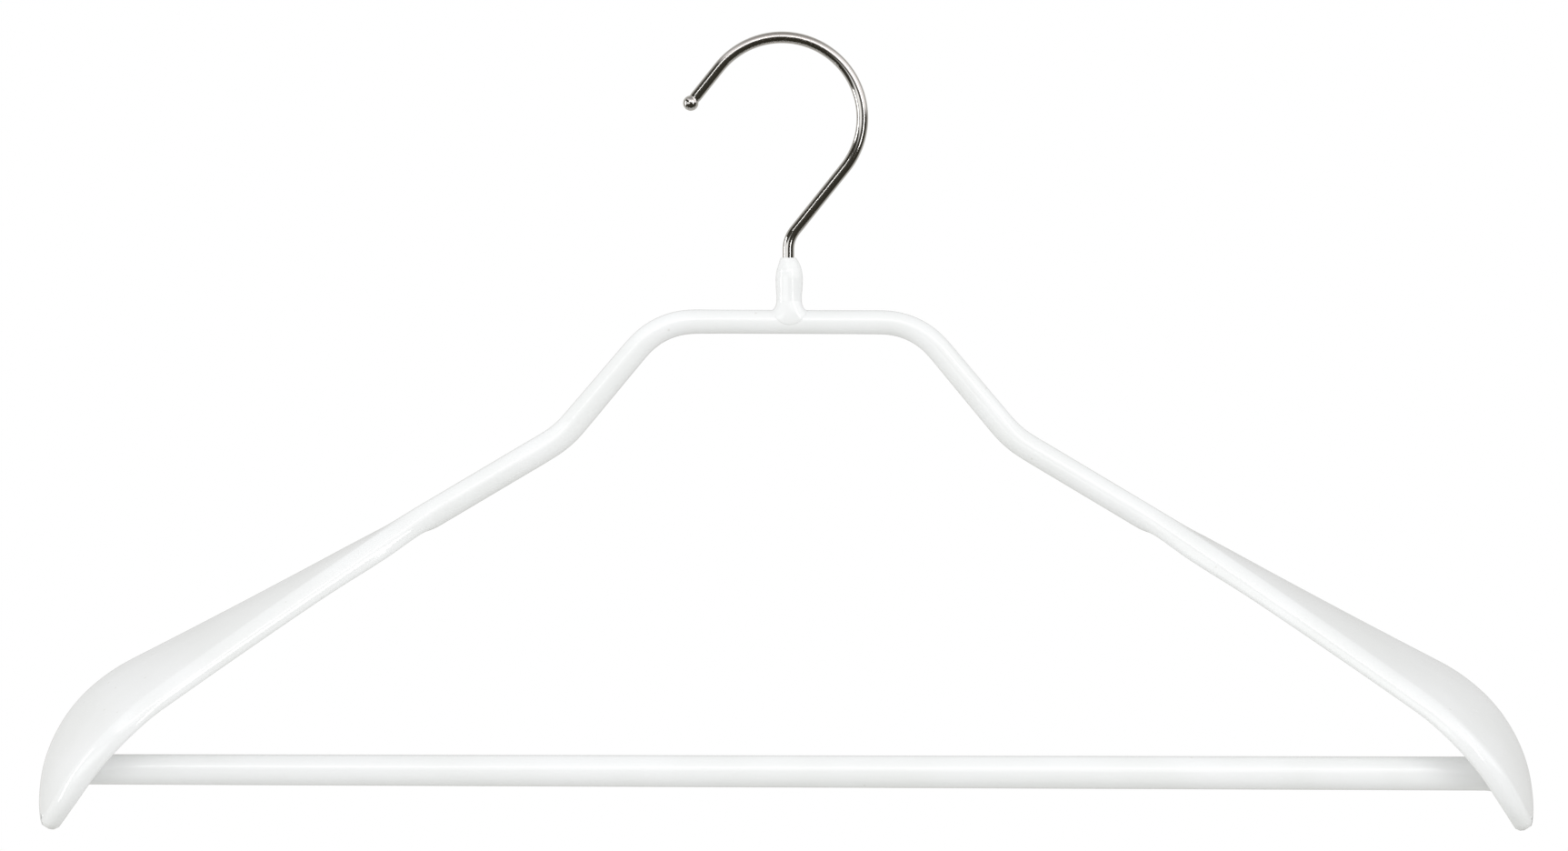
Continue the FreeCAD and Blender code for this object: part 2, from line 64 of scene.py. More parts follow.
camera_data = bpy.data.cameras.new("camera")
camera_data.sensor_width = 36.0
camera_data.lens = 36.0 * LENS_PER_WIDTH
camera_data.clip_end = 50.0
camera = bpy.data.objects.new("camera", camera_data)
bpy.context.collection.objects.link(camera)
camera.location = (
    CAMERA_AIM[0] * math.cos(CAMERA_YAW) - CAMERA_BACK * math.sin(CAMERA_YAW),
    -CAMERA_AIM[0] * math.sin(CAMERA_YAW) - CAMERA_BACK * math.cos(CAMERA_YAW),
    CAMERA_AIM[1],
)
camera.rotation_euler = (math.pi / 2, -CAMERA_ROLL, -CAMERA_YAW)
bpy.context.scene.camera = camera
bpy.context.scene.view_settings.view_transform = "Standard"


class Value:
    """A shader socket that can be added, scaled and compared in plain expressions."""

    def __init__(self, tree, socket):
        self.tree = tree
        self.socket = socket

    def math(self, operation, *others):
        node = self.tree.nodes.new("ShaderNodeMath")
        node.operation = operation
        for place, item in zip(node.inputs, (self,) + others):
            if isinstance(item, Value):
                self.tree.links.new(item.socket, place)
            else:
                place.default_value = item
        return Value(self.tree, node.outputs[0])

    def __add__(self, other):
        return self.math("ADD", other)

    def __rsub__(self, other):
        return (self * -1.0) + other

    def __mul__(self, other):
        return self.math("MULTIPLY", other)

    __radd__ = __add__
    __rmul__ = __mul__

    def ramp(self, low, high):
        """0 below low, 1 above high and smooth between them."""
        node = self.tree.nodes.new("ShaderNodeMapRange")
        node.interpolation_type = "SMOOTHSTEP"
        self.tree.links.new(self.socket, node.inputs["Value"])
        node.inputs["From Min"].default_value = low
        node.inputs["From Max"].default_value = high
        return Value(self.tree, node.outputs["Result"])


class Finish:
    """A new material's node tree, with one method that adds any node."""

    def __init__(self, name, world=False):
        if world:
            self.material = bpy.data.worlds.new(name)
        else:
            self.material = bpy.data.materials.new(name)
        self.material.use_nodes = True
        self.tree = self.material.node_tree
        self.tree.nodes.clear()

    def node(self, kind, settings=None, output=0, **inputs):
        """Add a node: settings first, then a value or a link for each named socket."""
        node = self.tree.nodes.new(kind)
        for name, setting in (settings or {}).items():
            setattr(node, name, setting)
        for name, item in inputs.items():
            key = int(name[1:]) if name[1:].isdigit() else name.replace("_", " ")
            socket = node.inputs[key]
            if isinstance(item, Value):
                self.tree.links.new(item.socket, socket)
            else:
                socket.default_value = item
        return Value(self.tree, node.outputs[output])

    def end(self, kind, shader):
        node = self.tree.nodes.new(kind)
        self.tree.links.new(shader.socket, node.inputs["Surface"])


def soft_world():
    """Surroundings: white to the camera; an even glow, stronger in front and weaker above, for
    the coating's own shade; and for reflections a dark room in front and below, a grey wall
    behind, a broad soft light above that reaches down on the right, and a low white panel
    on the left."""
    world = Finish("soft_studio", world=True)
    where = world.node("ShaderNodeTexCoord")
    split = world.node("ShaderNodeSeparateXYZ", Vector=where).socket.node
    right, back, up = (Value(world.tree, split.outputs[axis]) for axis in "XYZ")

    def blend(amount, low, high):
        return world.node("ShaderNodeMix", {"data_type": "RGBA"}, output=2,
                          _0=amount, _6=low, _7=high)

    glow = blend(back.ramp(-0.6, 0.6), (1.17, 1.18, 1.195, 1), (0.63, 0.64, 0.645, 1))
    glow = blend(up.ramp(0.0, 0.9), glow, (0.82, 0.83, 0.84, 1))
    room = blend(back.ramp(-0.1, 0.45), (0.035, 0.032, 0.024, 1), (0.52, 0.51, 0.49, 1))
    toward_upper_right = (right * 0.62 + up * 0.78).ramp(0.06, 0.24)
    above = up.ramp(0.08, 0.22) * toward_upper_right * back.ramp(0.20, -0.05)
    room = blend(above * (1 - up.ramp(0.62, 0.98) * 0.7), room, (1.02, 0.98, 0.99, 1))
    left = right * -1.0
    panel = left.ramp(0.16, 0.28) * left.ramp(0.94, 0.82)
    panel = panel * up.ramp(0.24, 0.12) * up.ramp(-0.30, -0.12)
    room = blend(panel * back.ramp(0.0, -0.2), room, (1.0, 1.0, 1.0, 1))
    rays = world.node("ShaderNodeLightPath").socket.node
    seen = Value(world.tree, rays.outputs["Is Camera Ray"])
    mirrored = Value(world.tree, rays.outputs["Is Glossy Ray"])
    shown = blend(seen, blend(mirrored, glow, room), (1.0, 1.0, 1.0, 1))
    background = world.node("ShaderNodeBackground", Color=shown, Strength=1.0)
    world.end("ShaderNodeOutputWorld", background)
    bpy.context.scene.world = world.material


def strip_light(name, azimuth, elevation, width, height, power):
    """A rectangular soft light that faces the hanger's middle from a direction in degrees."""
    data = bpy.data.lights.new(name, "AREA")
    data.shape = "RECTANGLE"
    data.size = width
    data.size_y = height
    data.energy = power
    light = bpy.data.objects.new(name, data)
    bpy.context.collection.objects.link(light)
    turn, rise = math.radians(azimuth), math.radians(elevation)
    light.location = (
        STRIP_DISTANCE * math.cos(rise) * math.sin(turn),
        -STRIP_DISTANCE * math.cos(rise) * math.cos(turn),
        CAMERA_AIM[1] + STRIP_DISTANCE * math.sin(rise),
    )
    light.rotation_euler = (math.pi / 2 - rise, 0.0, turn)


soft_world()
for strip in STRIPS:
    strip_light(*strip)

floor_mesh = bpy.data.meshes.new("floor")
floor_corners = [(-1, -1), (1, -1), (1, 1), (-1, 1)]
floor_mesh.from_pydata([(x * FLOOR_HALF, y * FLOOR_HALF, FLOOR_Z) for x, y in floor_corners],
                       [], [(0, 1, 2, 3)])
floor = bpy.data.objects.new("floor", floor_mesh)
bpy.context.collection.objects.link(floor)
floor.visible_glossy = False
floor_finish = Finish("pale_floor")
floor_paint = floor_finish.node("ShaderNodeBsdfPrincipled",
                                Base_Color=(0.75, 0.75, 0.73, 1), Roughness=0.9)
floor_finish.end("ShaderNodeOutputMaterial", floor_paint)
floor_mesh.materials.append(floor_finish.material)


# ------------------------------------------------------------------ hook
# One piece of bright nickel-plated steel wire: an upset head inside the neck, a short stem,
# a slanting straight, half a circle that opens to the left, and a nose that ends in a small
# formed ball. The wire is drawn, so its faint marks run lengthways.
WIRE_RADIUS = 1.7
HOOK_BEND = 23.6
HOOK_SHIFT = 2.0
HOOK_SLANT = math.radians(51.6)
HOOK_NOSE = 13.4
STEM_BEND = 8.5
BALL_RADIUS = 2.25
BALL_BACK = 1.5
BALL_NECK_BACK, BALL_NECK_RUN, BALL_NECK_DEPTH = 1.75, 0.35, 0.0875
HEAD_RADIUS = 2.5
HEAD_HEIGHT = 2.2
HEAD_ROUNDING_RUN, HEAD_ROUNDING = 0.5, 0.4


def heading_path(runs, start, heading, step, smooth):
    """Points and headings of a flat path, in an XZ plane.

    runs lists (length, turn) pairs. The heading is the starting heading plus the turn so far,
    which grows evenly along each run and is averaged over a short window, so that the bends
    ease in; the points are the running sum of its cosine and sine.
    """
    lengths = np.array([length for length, _ in runs])
    turns = np.array([turn for _, turn in runs])
    marks = np.concatenate([[0.0], np.cumsum(lengths)])
    angles = heading + np.concatenate([[0.0], np.cumsum(turns)])
    count = int(round(marks[-1] / step))
    run = np.linspace(0.0, marks[-1], count + 1)
    angle = np.zeros(count + 1)
    offsets = np.linspace(-smooth, smooth, 9)
    for offset in offsets:
        angle += np.interp(run + offset, marks, angles) / len(offsets)
    middle = (angle[1:] + angle[:-1]) / 2
    pace = run[1]
    x = start[0] + np.concatenate([[0.0], np.cumsum(np.cos(middle))]) * pace
    z = start[1] + np.concatenate([[0.0], np.cumsum(np.sin(middle))]) * pace
    return run, x, z, angle


def grid_piece(name, points, uv=None, ends="poles"):
    """A mesh from a grid of points, rows along and columns round, in millimetres.

    The columns close on themselves. With ends "poles" each end row is closed with a fan to
    its mean point; with "joined" the last row meets the first. uv holds the along and round
    coordinates of every grid point.
    """
    rows, columns = points.shape[:2]
    vertices = points.reshape(-1, 3) * MM
    first = np.arange(rows if ends == "joined" else rows - 1)[:, None] * columns
    second = (first + columns) % (rows * columns)
    column = np.arange(columns)[None, :]
    following = (column + 1) % columns
    quads = np.stack([first + column, first + following,
                      second + following, second + column], axis=-1)
    faces = [tuple(face) for face in quads.reshape(-1, 4).tolist()]
    if ends == "poles":
        total = len(vertices)
        vertices = np.vstack([vertices, points[0].mean(0) * MM, points[-1].mean(0) * MM])
        ring = np.arange(columns)
        after = (ring + 1) % columns
        last = (rows - 1) * columns
        faces += list(zip([total] * columns, after.tolist(), ring.tolist()))
        faces += list(zip([total + 1] * columns, (last + ring).tolist(), (last + after).tolist()))
    mesh = bpy.data.meshes.new(name)
    mesh.from_pydata(vertices.tolist(), [], faces)
    mesh.polygons.foreach_set("use_smooth", np.ones(len(mesh.polygons), dtype=bool))
    if uv is not None:
        layer = mesh.uv_layers.new(name="along")
        loops = np.zeros(len(mesh.loops), dtype=np.int32)
        mesh.loops.foreach_get("vertex_index", loops)
        flat = np.vstack([uv.reshape(-1, 2), np.zeros((2, 2))])
        layer.data.foreach_set("uv", flat[loops].ravel().astype(np.float32))
    mesh.update()
    piece = bpy.data.objects.new(name, mesh)
    bpy.context.collection.objects.link(piece)
    return piece


def hook_surface():
    """Rings of the wire's radius round the hook's path, every ring square to the path.

    The radius is the head's up to its top, then the wire's, and round the ball it is the
    root of the ball's radius squared less the distance from its centre squared. A bell
    curve thins the wire a little behind the ball, and a square rounds the head's end.
    """
    turn = math.pi / 2 - HOOK_SLANT
    tangent = STEM_BEND * math.tan(turn / 2)
    bend_end = -HOOK_SHIFT + HOOK_BEND * math.sin(HOOK_SLANT)
    bend_end_z = WIRE_RADIUS - HOOK_BEND - HOOK_BEND * math.cos(HOOK_SLANT)
    slanted = bend_end / math.cos(HOOK_SLANT)
    corner_z = bend_end_z - slanted * math.sin(HOOK_SLANT)
    foot = HEAD_TOP - HEAD_HEIGHT
    runs = [
        (corner_z - tangent - foot, 0.0),
        (STEM_BEND * turn, -turn),
        (slanted - tangent, 0.0),
        (HOOK_BEND * math.pi, math.pi),
        (HOOK_NOSE + BALL_RADIUS, 0.0),
    ]
    run, x, z, angle = heading_path(runs, (0.0, foot), math.pi / 2, 0.22, 0.5)
    total = run[-1]
    ball_from = total - BALL_RADIUS
    radius = np.full_like(run, WIRE_RADIUS)
    radius = np.where(run < HEAD_HEIGHT, HEAD_RADIUS, radius)
    away = np.clip(np.abs(run - ball_from), 0, BALL_RADIUS)
    ball = np.sqrt(BALL_RADIUS ** 2 - away ** 2)
    from_neck = run - ball_from + BALL_NECK_BACK
    thinned = radius - BALL_NECK_DEPTH * np.exp(-(from_neck / BALL_NECK_RUN) ** 2)
    radius = np.where(run > ball_from - BALL_BACK, np.maximum(ball, 0.02), thinned)
    rim = np.clip(1 - run / HEAD_ROUNDING_RUN, 0, 1)
    radius = radius - HEAD_ROUNDING * rim ** 2
    around = np.linspace(0, 2 * np.pi, 48, endpoint=False)
    side = np.cos(around)[None, :] * radius[:, None]
    depth = np.sin(around)[None, :] * radius[:, None]
    points = np.stack([
        x[:, None] - np.sin(angle)[:, None] * side,
        depth,
        z[:, None] + np.cos(angle)[:, None] * side,
    ], axis=-1)
    turns = around[None, :] / (2 * np.pi)
    uv = np.stack(np.broadcast_arrays(run[:, None] * MM, turns), axis=-1)
    return points, uv


def bright_nickel():
    """Polished plating: drawn lines along the wire, fine rub marks where the rail bears, and
    a slightly duller, warmer patch there."""
    finish = Finish("bright_nickel")
    along = finish.node("ShaderNodeUVMap", {"uv_map": "along"})
    stretched = finish.node("ShaderNodeMapping", Vector=along, Scale=(60.0, 90.0, 1.0))
    drawn = finish.node("ShaderNodeTexNoise", Vector=stretched, Scale=1.0, Detail=4.0)
    where = finish.node("ShaderNodeTexCoord", output=3)
    reach = finish.node("ShaderNodeVectorMath", {"operation": "LENGTH"}, output=1, _0=where)
    seat = 1 - reach.ramp(0.004, 0.016)
    scratches = finish.node("ShaderNodeTexNoise", Vector=where, Scale=2200.0, Detail=3.0)
    tone = finish.node("ShaderNodeMix", {"data_type": "RGBA"}, output=2,
                       _0=seat * 0.6, _6=(0.80, 0.785, 0.755, 1), _7=(0.66, 0.63, 0.59, 1))
    marks = scratches.ramp(0.52, 0.70) * seat
    bump = finish.node("ShaderNodeBump", Height=drawn * 0.5 + marks, Strength=0.12,
                       Distance=0.00004)
    metal = finish.node("ShaderNodeBsdfPrincipled", Base_Color=tone, Metallic=1.0,
                        Roughness=drawn * 0.05 + marks * 0.25 + 0.075, Normal=bump)
    finish.end("ShaderNodeOutputMaterial", metal)
    return finish.material


HEAD_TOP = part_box("hook")[0][2] / MM + HEAD_HEIGHT
hook_points, hook_uv = hook_surface()
hook_wire = grid_piece("hook_wire", hook_points, hook_uv)
hook_wire.data.materials.append(bright_nickel())
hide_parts("hook")
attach(hook_wire, "hook")


# ------------------------------------------------------------------ steel under the coating
# The crimped sleeve, the bent tube, the two pressed plates and the trouser bar's tube are
# plain mill steel, welded together and then dipped. The welds have a rippled bead with blue
# and straw heat colours. All but the plates keep their CAD shapes.
def mill_steel(name, grain):
    """Grey mill finish: long rolling grain in one direction, a little oil staining."""
    finish = Finish(name)
    where = finish.node("ShaderNodeTexCoord", output=3)
    stretched = finish.node("ShaderNodeMapping", Vector=where, Scale=grain)
    rolling = finish.node("ShaderNodeTexNoise", Vector=stretched, Scale=1.0, Detail=5.0)
    stain = finish.node("ShaderNodeTexNoise", Vector=where, Scale=60.0, Detail=2.0).ramp(0.45, 0.75)
    tone = finish.node("ShaderNodeMix", {"data_type": "RGBA"}, output=2,
                       _0=stain, _6=(0.46, 0.46, 0.45, 1), _7=(0.34, 0.32, 0.29, 1))
    bump = finish.node("ShaderNodeBump", Height=rolling, Strength=0.2, Distance=0.00005)
    steel = finish.node("ShaderNodeBsdfPrincipled", Base_Color=tone, Metallic=1.0,
                        Roughness=rolling * 0.2 + 0.3, Normal=bump)
    finish.end("ShaderNodeOutputMaterial", steel)
    return finish.material


def weld_steel():
    """Weld metal: closely spaced ripples, with heat colours from straw to blue."""
    finish = Finish("weld_bead")
    where = finish.node("ShaderNodeTexCoord", output=3)
    ripples = finish.node("ShaderNodeTexWave", {"wave_type": "RINGS"}, Vector=where, Scale=420.0,
                          Distortion=3.0)
    heat = finish.node("ShaderNodeTexNoise", Vector=where, Scale=500.0).ramp(0.35, 0.65)
    tone = finish.node("ShaderNodeMix", {"data_type": "RGBA"}, output=2,
                       _0=heat, _6=(0.42, 0.34, 0.22, 1), _7=(0.22, 0.26, 0.38, 1))
    bump = finish.node("ShaderNodeBump", Height=ripples, Strength=0.5, Distance=0.0002)
    steel = finish.node("ShaderNodeBsdfPrincipled", Base_Color=tone, Metallic=1.0,
                        Roughness=0.4, Normal=bump)
    finish.end("ShaderNodeOutputMaterial", steel)
    return finish.material


def recoat(node, material):
    """Give a CAD node's object one material."""
    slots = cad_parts[node].data.materials
    slots.clear()
    slots.append(material)


drawn_tube = mill_steel("drawn_tube", (40.0, 1500.0, 1500.0))
pressed_sheet = mill_steel("pressed_sheet", (60.0, 900.0, 60.0))
turned_sleeve = mill_steel("crimped_sleeve", (300.0, 300.0, 4000.0))
weld_bead = weld_steel()
for tube_node in ("frame_tube", "trouser_bar"):
    recoat(tube_node, drawn_tube)
for plate_node in ("shoulder_plate_left", "shoulder_plate_right"):
    recoat(plate_node, pressed_sheet)
recoat("neck_sleeve", turned_sleeve)
for weld_node in ("neck_weld", "shoulder_weld_left", "shoulder_weld_right",
                  "bar_weld_left", "bar_weld_right"):
    recoat(weld_node, weld_bead)


# ------------------------------------------------------------------ coated arch and shoulders
# The coating over the bent tube and both pressed plates is one skin of thick white PVC. The
# tube is round; past the joint it opens into a crowned plate that widens, dips forwards and
# ends in a rounded tip, with rolled edges and a hollow between turned-down rims.
ARCH_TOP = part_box("frame_tube")[1][2] / MM - 3.0
BEND_ONE_AT, BEND_ONE = 37.7, 21.5
BEND_TWO_AT, BEND_TWO_DROP, BEND_TWO = 66.0, 33.9, 28.0
SLOPE = math.radians(30.9)
PLAN_BEND = 650.0
JOINT_AT = 102.0
CORNER_AT, CORNER_BEND = 205.9, 54.0
TIP_SLOPE = math.radians(81.5)
TIP_RUN = 3.0
PLATE_HALF_WIDTH = 23.0
NOSE_LENGTH, NOSE_POWER = 38.0, 1.7
EDGE_RADIUS = 3.8
WALL = 2.4
RIM_DEPTH = 2.6
THIN_RUN, THIN_END = 20.0, 0.72
TIP_KICK = 0.46
JOINT_DEEPER = 0.45
CROWN = 1.2
ROLL_MID, ROLL_TIP = 9.0, 13.0
SKIN_RADIUS_MIDDLE = 3.5
SKIN_RADIUS_SLOPE = {-1: 4.08, 1: 3.85}
OPENING_FROM, OPENING_RUN = 2.0, 20.0
DEEPER_RUN = 45.0
TIP_KICK_RUN = 12.0
PLAN_HELD_FROM = 211.0


def arch_line(side):
    """Run, point, heading, width and outward directions, from the middle of the arch to one tip.

    The front view is level, steep, sloping and turned down at the tip, with round bends. The
    path is that line wrapped round the plan curve, straight as far as the joint. The width
    direction is level, turned with the plan curve and dipped forwards by the roll; round the
    tip the turn is held, because the heading there is almost straight down.
    """
    steep = math.atan2(BEND_TWO_DROP, BEND_TWO_AT - BEND_ONE_AT)
    tangent_one = BEND_ONE * math.tan(steep / 2)
    tangent_two = BEND_TWO * math.tan((steep - SLOPE) / 2)
    tangent_three = CORNER_BEND * math.tan((TIP_SLOPE - SLOPE) / 2)
    steep_length = math.hypot(BEND_TWO_DROP, BEND_TWO_AT - BEND_ONE_AT)
    slope_length = (CORNER_AT - BEND_TWO_AT) / math.cos(SLOPE)
    runs = [
        (BEND_ONE_AT - tangent_one, 0.0),
        (BEND_ONE * steep, -steep),
        (steep_length - tangent_one - tangent_two, 0.0),
        (BEND_TWO * (steep - SLOPE), steep - SLOPE),
        (slope_length - tangent_two - tangent_three, 0.0),
        (CORNER_BEND * (TIP_SLOPE - SLOPE), SLOPE - TIP_SLOPE),
        (TIP_RUN, 0.0),
    ]
    run, x, z, _ = heading_path(runs, (0.0, ARCH_TOP), 0.0, 0.25, 2.5)
    joint_back = PLAN_BEND - math.sqrt(PLAN_BEND ** 2 - JOINT_AT ** 2)
    lean = math.tan(math.asin(JOINT_AT / PLAN_BEND))
    corner_back = joint_back - lean * (JOINT_AT - BEND_TWO_AT)
    plan_x = np.linspace(-12.0, 260.0, 1089)
    straight = np.interp(plan_x, [BEND_ONE_AT, BEND_TWO_AT, JOINT_AT],
                         [0.0, corner_back, joint_back])
    curved = PLAN_BEND - np.sqrt(PLAN_BEND ** 2 - plan_x ** 2)
    back = np.where(plan_x < JOINT_AT, straight, curved)
    window = np.hanning(41)
    eased = np.convolve(back, window / window.sum(), mode="same")
    back = np.where((plan_x > 5) & (plan_x < 240), eased, back)
    y = -np.interp(x, plan_x, back)
    point = np.stack([x, y, z], axis=-1)
    heading = np.gradient(point, axis=0)
    heading /= np.linalg.norm(heading, axis=1, keepdims=True)
    joint_run = np.interp(JOINT_AT, x, run)
    past = run - joint_run
    part = np.clip(past / (run[-1] - joint_run), 0, 1)
    roll = np.radians(ROLL_MID * (1 - part) + ROLL_TIP * part) * smooth_step(past / 30.0)
    plan = np.arctan2(-heading[:, 1], heading[:, 0])
    before_tip = x < PLAN_HELD_FROM
    plan = np.interp(run, run[before_tip], plan[before_tip])
    width = np.stack([-np.sin(plan), -np.cos(plan), -np.tan(roll)], axis=-1)
    width -= heading * np.sum(width * heading, axis=1, keepdims=True)
    width /= np.linalg.norm(width, axis=1, keepdims=True)
    outward = np.cross(heading, width)
    outward *= np.sign(outward[:, 2:3])
    flip = np.array([side, 1.0, 1.0])
    return run, past, point * flip, width * flip, outward * flip


def smooth_step(value):
    """0 below 0, 1 above 1, and three squares less two cubes between."""
    value = np.clip(value, 0, 1)
    return value * value * (3 - 2 * value)


def plate_half_width(past, length):
    """Half the plate's width: a taper that starts with a square and ends with an exponential
    slowing, then a superellipse round the tip."""
    nose = length - NOSE_LENGTH
    ease, fade = 6.0, 12.0
    grown = np.where(past < 2 * ease, np.clip(past, 0, None) ** 2 / (4 * ease), past - ease)
    slow = nose - ease - fade
    beyond = np.clip(grown - slow, 0, None)
    grown = np.where(grown < slow, grown, slow + fade * (1 - np.exp(-beyond / fade)))
    growth = (PLATE_HALF_WIDTH - EDGE_RADIUS) / slow * 0.9
    straight = EDGE_RADIUS + growth * grown
    part = np.clip((past - nose) / NOSE_LENGTH, 0, 1)
    return straight * (1 - part ** NOSE_POWER) ** (1 / NOSE_POWER)


def channel_half(half, stretch, inset):
    """Half of the plate's section, from the crown's middle round the rim to the hollow's middle.

    Coordinates are the distance across and the height. Everything is placed by the distance
    in from the outline, which stretch turns into a distance across. Near the tip the rolled
    edge, the rim and the hollow all shrink together, by quarter circles. inset is the
    distance inside the coating's own surface. The angles place the same points on a circle.
    """
    half, stretch = half[:, None], stretch[:, None]
    depth_in = half / stretch
    edge_radius = EDGE_RADIUS - inset
    squeeze = np.clip(depth_in / (edge_radius - 0.4), 0, 1)
    lift = np.sqrt(1 - (1 - squeeze) ** 2)
    edge = edge_radius * squeeze
    wall = (WALL - 2 * inset) * squeeze
    foot_radius = wall / 2
    rise = np.minimum(CROWN * half / PLATE_HALF_WIDTH, 0.2 * np.clip(half - edge, 0, None))
    centre = -rise
    floor_level = inset - RIM_DEPTH + (1 - lift) * 1.2
    inner = (EDGE_RADIUS - WALL + inset) * squeeze
    reach = half - edge * stretch

    flat = np.linspace(0, 1, 12)[None, :]
    arc = np.linspace(0, np.pi / 2, 14)[None, 1:]
    crown_across = reach * flat
    edge_in = edge * (1 - np.sin(arc))
    edge_up = centre + edge_radius * lift * np.cos(arc)
    crown_up = centre + edge_radius * lift + rise * (1 - (crown_across / half) ** 2)
    edge_across = half - edge_in * stretch
    edge_up = edge_up + rise * (1 - (edge_across / half) ** 2)

    down = np.linspace(0, 1, 5)[None, 1:]
    foot_top = floor_level + foot_radius
    lip_up = centre + (foot_top - centre) * down
    half_turn = np.linspace(0, np.pi, 12)[None, 1:]
    foot_in = foot_radius * (1 - np.cos(half_turn))
    foot_up = foot_top - foot_radius * np.sin(half_turn)
    ceiling = foot_top + (centre - foot_top) * squeeze
    wall_up = foot_top + (ceiling - foot_top) * down
    inner_in = edge - inner * np.cos(arc)
    inner_up = ceiling + inner * lift * np.sin(arc)
    roof_across = reach * (1 - np.linspace(0, 1, 12)[None, 1:])
    top = ceiling + inner * lift
    inner_across = half - inner_in * stretch
    inner_up = inner_up + rise * squeeze * (1 - (inner_across / half) ** 2)
    roof_up = top + rise * squeeze * (1 - (roof_across / half) ** 2)

    level = np.ones_like(down)
    across = [crown_across, edge_across, half * level, half - foot_in * stretch,
              (half - wall * stretch) * level, inner_across, roof_across]
    up = [crown_up, edge_up, lip_up, foot_up, wall_up, inner_up, roof_up]
    marks = [55, -5, -25, -58, -66, -76, -90]
    angle = [np.linspace(90, marks[0], crown_up.shape[1])]
    for part, low, high in zip(up[1:], marks, marks[1:]):
        angle.append(np.linspace(low, high, part.shape[1] + 1)[1:])
    return np.hstack(across), np.hstack(up), np.radians(np.concatenate(angle))


def shoulder_side(side, inset=0.0, first=-1000.0, shortfall=0.0):
    """Grid of the coated arch from its middle to one tip.

    It is a circle on the tube, blended past the joint into the plate's channel section. The
    section's lower half is deeper by the joint, and its height thins and lifts at the tip.
    inset moves the surface inwards; only rows from first, measured past the joint, to a
    shortfall before the tip are returned.
    """
    run, past, point, width, outward = arch_line(side)
    length = past[-1]
    nose = 18 * np.cos(np.linspace(0, np.pi / 2, 30))
    ends = np.concatenate([np.arange(0, run[-1] - 18, 1.0), run[-1] - nose])
    ends = np.minimum(ends, run[-1] - 0.004)

    def at(values):
        return np.stack([np.interp(ends, run, column) for column in values.T], axis=-1)

    point, width, outward = at(point), at(width), at(outward)
    past = np.interp(ends, run, past)
    half = plate_half_width(past, length) - inset
    fine = np.linspace(past[0], length, 6000)
    fine_half = plate_half_width(fine, length)
    slope = np.interp(past, fine, np.abs(np.gradient(fine_half, fine)))
    slope = np.where(past > length - NOSE_LENGTH, slope, 0.0)
    stretch = np.sqrt(1 + slope ** 2)
    across, up, angle = channel_half(np.maximum(half, 0.01), stretch, inset)
    thinning = np.sin(np.pi / 2 * np.clip((length - past) / THIN_RUN, 0, 1))
    up = up * (THIN_END + (1 - THIN_END) * thinning)[:, None]
    deeper = 1 + JOINT_DEEPER * (1 - smooth_step(past / DEEPER_RUN))[:, None]
    up = np.where(up < 0, up * deeper, up)
    up = up + TIP_KICK * smooth_step(1 - (length - past) / TIP_KICK_RUN)[:, None]
    on_slope = SKIN_RADIUS_SLOPE[side]
    round_radius = np.interp(ends, [20, 90], [SKIN_RADIUS_MIDDLE, on_slope]) - inset
    opened = smooth_step((past - OPENING_FROM) / OPENING_RUN)[:, None]
    widened = round_radius + np.maximum(half - EDGE_RADIUS + inset, 0.0)
    circle_across = widened[:, None] * np.cos(angle)
    circle_up = round_radius[:, None] * np.sin(angle)
    across = circle_across * (1 - opened) + across * opened
    up = circle_up * (1 - opened) + up * opened
    across = np.hstack([across, -across[:, -2:0:-1]])
    up = np.hstack([up, up[:, -2:0:-1]])
    sideways = width[:, None, :] * across[..., None]
    grid = point[:, None, :] + sideways + outward[:, None, :] * up[..., None]
    return grid[(past >= first) & (past <= length - shortfall)]


def arch_grid():
    """Both sides of the coated arch joined at the middle, from the left tip to the right."""
    left = shoulder_side(-1)[::-1]
    right = shoulder_side(1)
    return np.concatenate([left[:-1], right], axis=0)


def dipped_pvc():
    """Thick glossy dip: broad slow waves where it ran, a fine orange peel, small specks of dust
    under the surface, and faint handling scuffs that dull the gloss a little."""
    finish = Finish("dipped_pvc")
    where = finish.node("ShaderNodeTexCoord", output=3)
    runs = finish.node("ShaderNodeTexNoise", Vector=where, Scale=45.0, Detail=1.0)
    peel = finish.node("ShaderNodeTexNoise", Vector=where, Scale=520.0, Detail=2.0)
    specks = finish.node("ShaderNodeTexVoronoi", Vector=where, Scale=130.0).ramp(0.07, 0.03)
    streaks = finish.node("ShaderNodeMapping", Vector=where, Scale=(90.0, 700.0, 700.0))
    scuffs = finish.node("ShaderNodeTexNoise", Vector=streaks, Scale=1.0, Detail=6.0)
    scuffs = scuffs.ramp(0.60, 0.78)
    thickness = runs.ramp(0.3, 0.7)
    body = finish.node("ShaderNodeMix", {"data_type": "RGBA"}, output=2,
                       _0=thickness, _6=(0.855, 0.86, 0.85, 1), _7=(0.885, 0.888, 0.885, 1))
    tone = finish.node("ShaderNodeMix", {"data_type": "RGBA"}, output=2,
                       _0=specks * 0.35, _6=body, _7=(0.62, 0.60, 0.55, 1))
    height = runs * 1.0 + peel * 0.03 + specks * 0.04
    bump = finish.node("ShaderNodeBump", Height=height, Strength=0.35, Distance=0.0006)
    skin = finish.node("ShaderNodeBsdfPrincipled", Base_Color=tone, Normal=bump,
                       Roughness=scuffs * 0.15 + peel * 0.04 + 0.09,
                       Coat_Weight=0.35 - scuffs * 0.2, Coat_Roughness=0.06)
    finish.end("ShaderNodeOutputMaterial", skin)
    return finish.material


